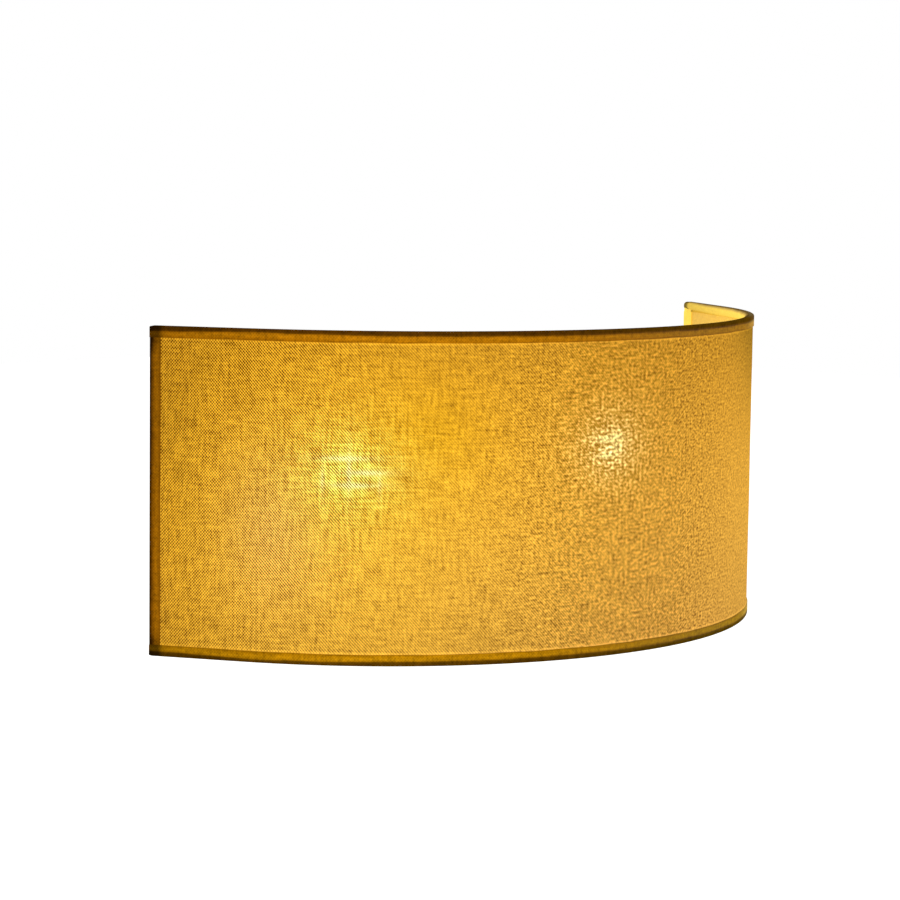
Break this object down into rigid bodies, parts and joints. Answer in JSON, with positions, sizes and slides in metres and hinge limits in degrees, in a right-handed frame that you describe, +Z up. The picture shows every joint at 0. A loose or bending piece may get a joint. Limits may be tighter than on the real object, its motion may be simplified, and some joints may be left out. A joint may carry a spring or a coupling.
{
  "type": "half-round fabric shade wall light",
  "caption": "Half-round wall light: a bound cloth shade, open above and below, hung on a slim wall plate with screw-in bulbs inside that light the cloth.",
  "frame": {"origin": "middle of the wall plate, on the wall plane, level with the middle of the shade's height", "axes": "+X to the right as seen from the room, +Z up, the shade stands out towards -Y"},
  "size_m": [0.399, 0.1505, 0.158],
  "materials": {
    "cover_cloth": "fine plain weave with slubs, lit from inside",
    "liner_cloth": "smooth laminated lining, lit",
    "binding_cloth": "folded strip of the cover's cloth, glued",
    "frame_wire": "white coated wire",
    "zinc_steel": "bright zinc plating",
    "plate_paint": "satin white powder coat",
    "earth_brass": "plain brass",
    "tinned_copper": "tinned",
    "nut_brass": "knurled, lacquered",
    "grommet_rubber": "soft black",
    "block_nylon": "milky, slightly glossy",
    "terminal_brass": "turned",
    "nipple_steel": "zinc plated thread",
    "holder_moulding": "moulded white",
    "insert_moulding": "fired, unglazed",
    "shell_brass": "rolled sheet",
    "contact_solder": "solder button",
    "insulator_glass": "black vitrite",
    "cap_nickel": "nickel plated, rolled thread",
    "bulb_clear": "clear blown glass",
    "stem_glass": "clear drawn glass",
    "filament_glow": "glowing rods",
    "live_sheath": "brown heat-resistant sleeve",
    "neutral_sheath": "blue heat-resistant sleeve",
    "earth_sheath": "green with a yellow stripe"
  },
  "bodies": {
    "wall_plate": {"wall_plate": "plate_paint", "shade_studs": "zinc_steel", "cable_grommet": "grommet_rubber", "lamp_bracket": "plate_paint", "bracket_screws": "zinc_steel", "plate_nuts": "zinc_steel", "earth_washer": "earth_brass", "earth_tag": "tinned_copper", "earth_screw": "earth_brass", "earth_lead": "earth_sheath", "terminal_block": "block_nylon", "terminal_barrels": "terminal_brass", "terminal_screws": "zinc_steel", "block_screws": "zinc_steel", "holder_nipples": "nipple_steel", "holder_locknuts": "zinc_steel", "left_holder_cap": "holder_moulding", "right_holder_cap": "holder_moulding", "left_holder_skirt": "holder_moulding", "right_holder_skirt": "holder_moulding", "left_holder_insert": "insert_moulding", "right_holder_insert": "insert_moulding", "left_screw_shell": "shell_brass", "right_screw_shell": "shell_brass", "left_holder_tongue": "shell_brass", "right_holder_tongue": "shell_brass", "left_live_lead": "live_sheath", "right_live_lead": "live_sheath", "left_neutral_lead": "neutral_sheath", "right_neutral_lead": "neutral_sheath"},
    "shade": {"shade_cover": "cover_cloth", "shade_liner": "liner_cloth", "top_wire": "frame_wire", "bottom_wire": "frame_wire", "left_upright": "frame_wire", "right_upright": "frame_wire", "top_binding": "binding_cloth", "bottom_binding": "binding_cloth", "left_end_binding": "binding_cloth", "right_end_binding": "binding_cloth", "left_hanger": "zinc_steel", "right_hanger": "zinc_steel"},
    "left_contact": {"left_bulb_contact": "contact_solder"},
    "left_bulb": {"left_bulb_insulator": "insulator_glass", "left_bulb_cap": "cap_nickel", "left_bulb_glass": "bulb_clear", "left_bulb_stem": "stem_glass", "left_bulb_filaments": "filament_glow"},
    "left_washer": {"left_washer": "zinc_steel"},
    "left_nut": {"left_thumb_nut": "nut_brass"},
    "right_contact": {"right_bulb_contact": "contact_solder"},
    "right_bulb": {"right_bulb_insulator": "insulator_glass", "right_bulb_cap": "cap_nickel", "right_bulb_glass": "bulb_clear", "right_bulb_stem": "stem_glass", "right_bulb_filaments": "filament_glow"},
    "right_washer": {"right_washer": "zinc_steel"},
    "right_nut": {"right_thumb_nut": "nut_brass"}
  },
  "joints": [
    {"name": "shade_lift", "type": "slide", "parent": "wall_plate", "child": "shade", "axis": [0, 0, 1], "range_m": [0, 0.18]},
    {"name": "left_bulb_travel", "type": "slide", "parent": "wall_plate", "child": "left_contact", "axis": [-1, 0, 0], "range_m": [0, 0.0086]},
    {"name": "left_bulb_turn", "type": "hinge", "parent": "left_contact", "child": "left_bulb", "pos_m": [-0.0995, -0.037, 0.006], "axis": [-1, 0, 0], "range_deg": [0, 1080]},
    {"name": "left_nut_travel", "type": "slide", "parent": "wall_plate", "child": "left_washer", "axis": [0, -1, 0], "range_m": [0, 0.0033]},
    {"name": "left_nut_turn", "type": "hinge", "parent": "left_washer", "child": "left_nut", "pos_m": [-0.178, -0.008, 0.014], "axis": [0, -1, 0], "range_deg": [0, 1440]},
    {"name": "right_bulb_travel", "type": "slide", "parent": "wall_plate", "child": "right_contact", "axis": [1, 0, 0], "range_m": [0, 0.0086]},
    {"name": "right_bulb_turn", "type": "hinge", "parent": "right_contact", "child": "right_bulb", "pos_m": [0.0995, -0.037, 0.006], "axis": [1, 0, 0], "range_deg": [0, 1080]},
    {"name": "right_nut_travel", "type": "slide", "parent": "wall_plate", "child": "right_washer", "axis": [0, -1, 0], "range_m": [0, 0.0033]},
    {"name": "right_nut_turn", "type": "hinge", "parent": "right_washer", "child": "right_nut", "pos_m": [0.178, -0.008, 0.014], "axis": [0, -1, 0], "range_deg": [0, 1440]}
  ],
  "couplings": [
    {"joint": "left_bulb_travel", "follows": "left_bulb_turn", "m_per_rad": 0.00044914},
    {"joint": "left_nut_travel", "follows": "left_nut_turn", "m_per_rad": 0.00012732},
    {"joint": "right_bulb_travel", "follows": "right_bulb_turn", "m_per_rad": 0.00044914},
    {"joint": "right_nut_travel", "follows": "right_nut_turn", "m_per_rad": 0.00012732}
  ]
}
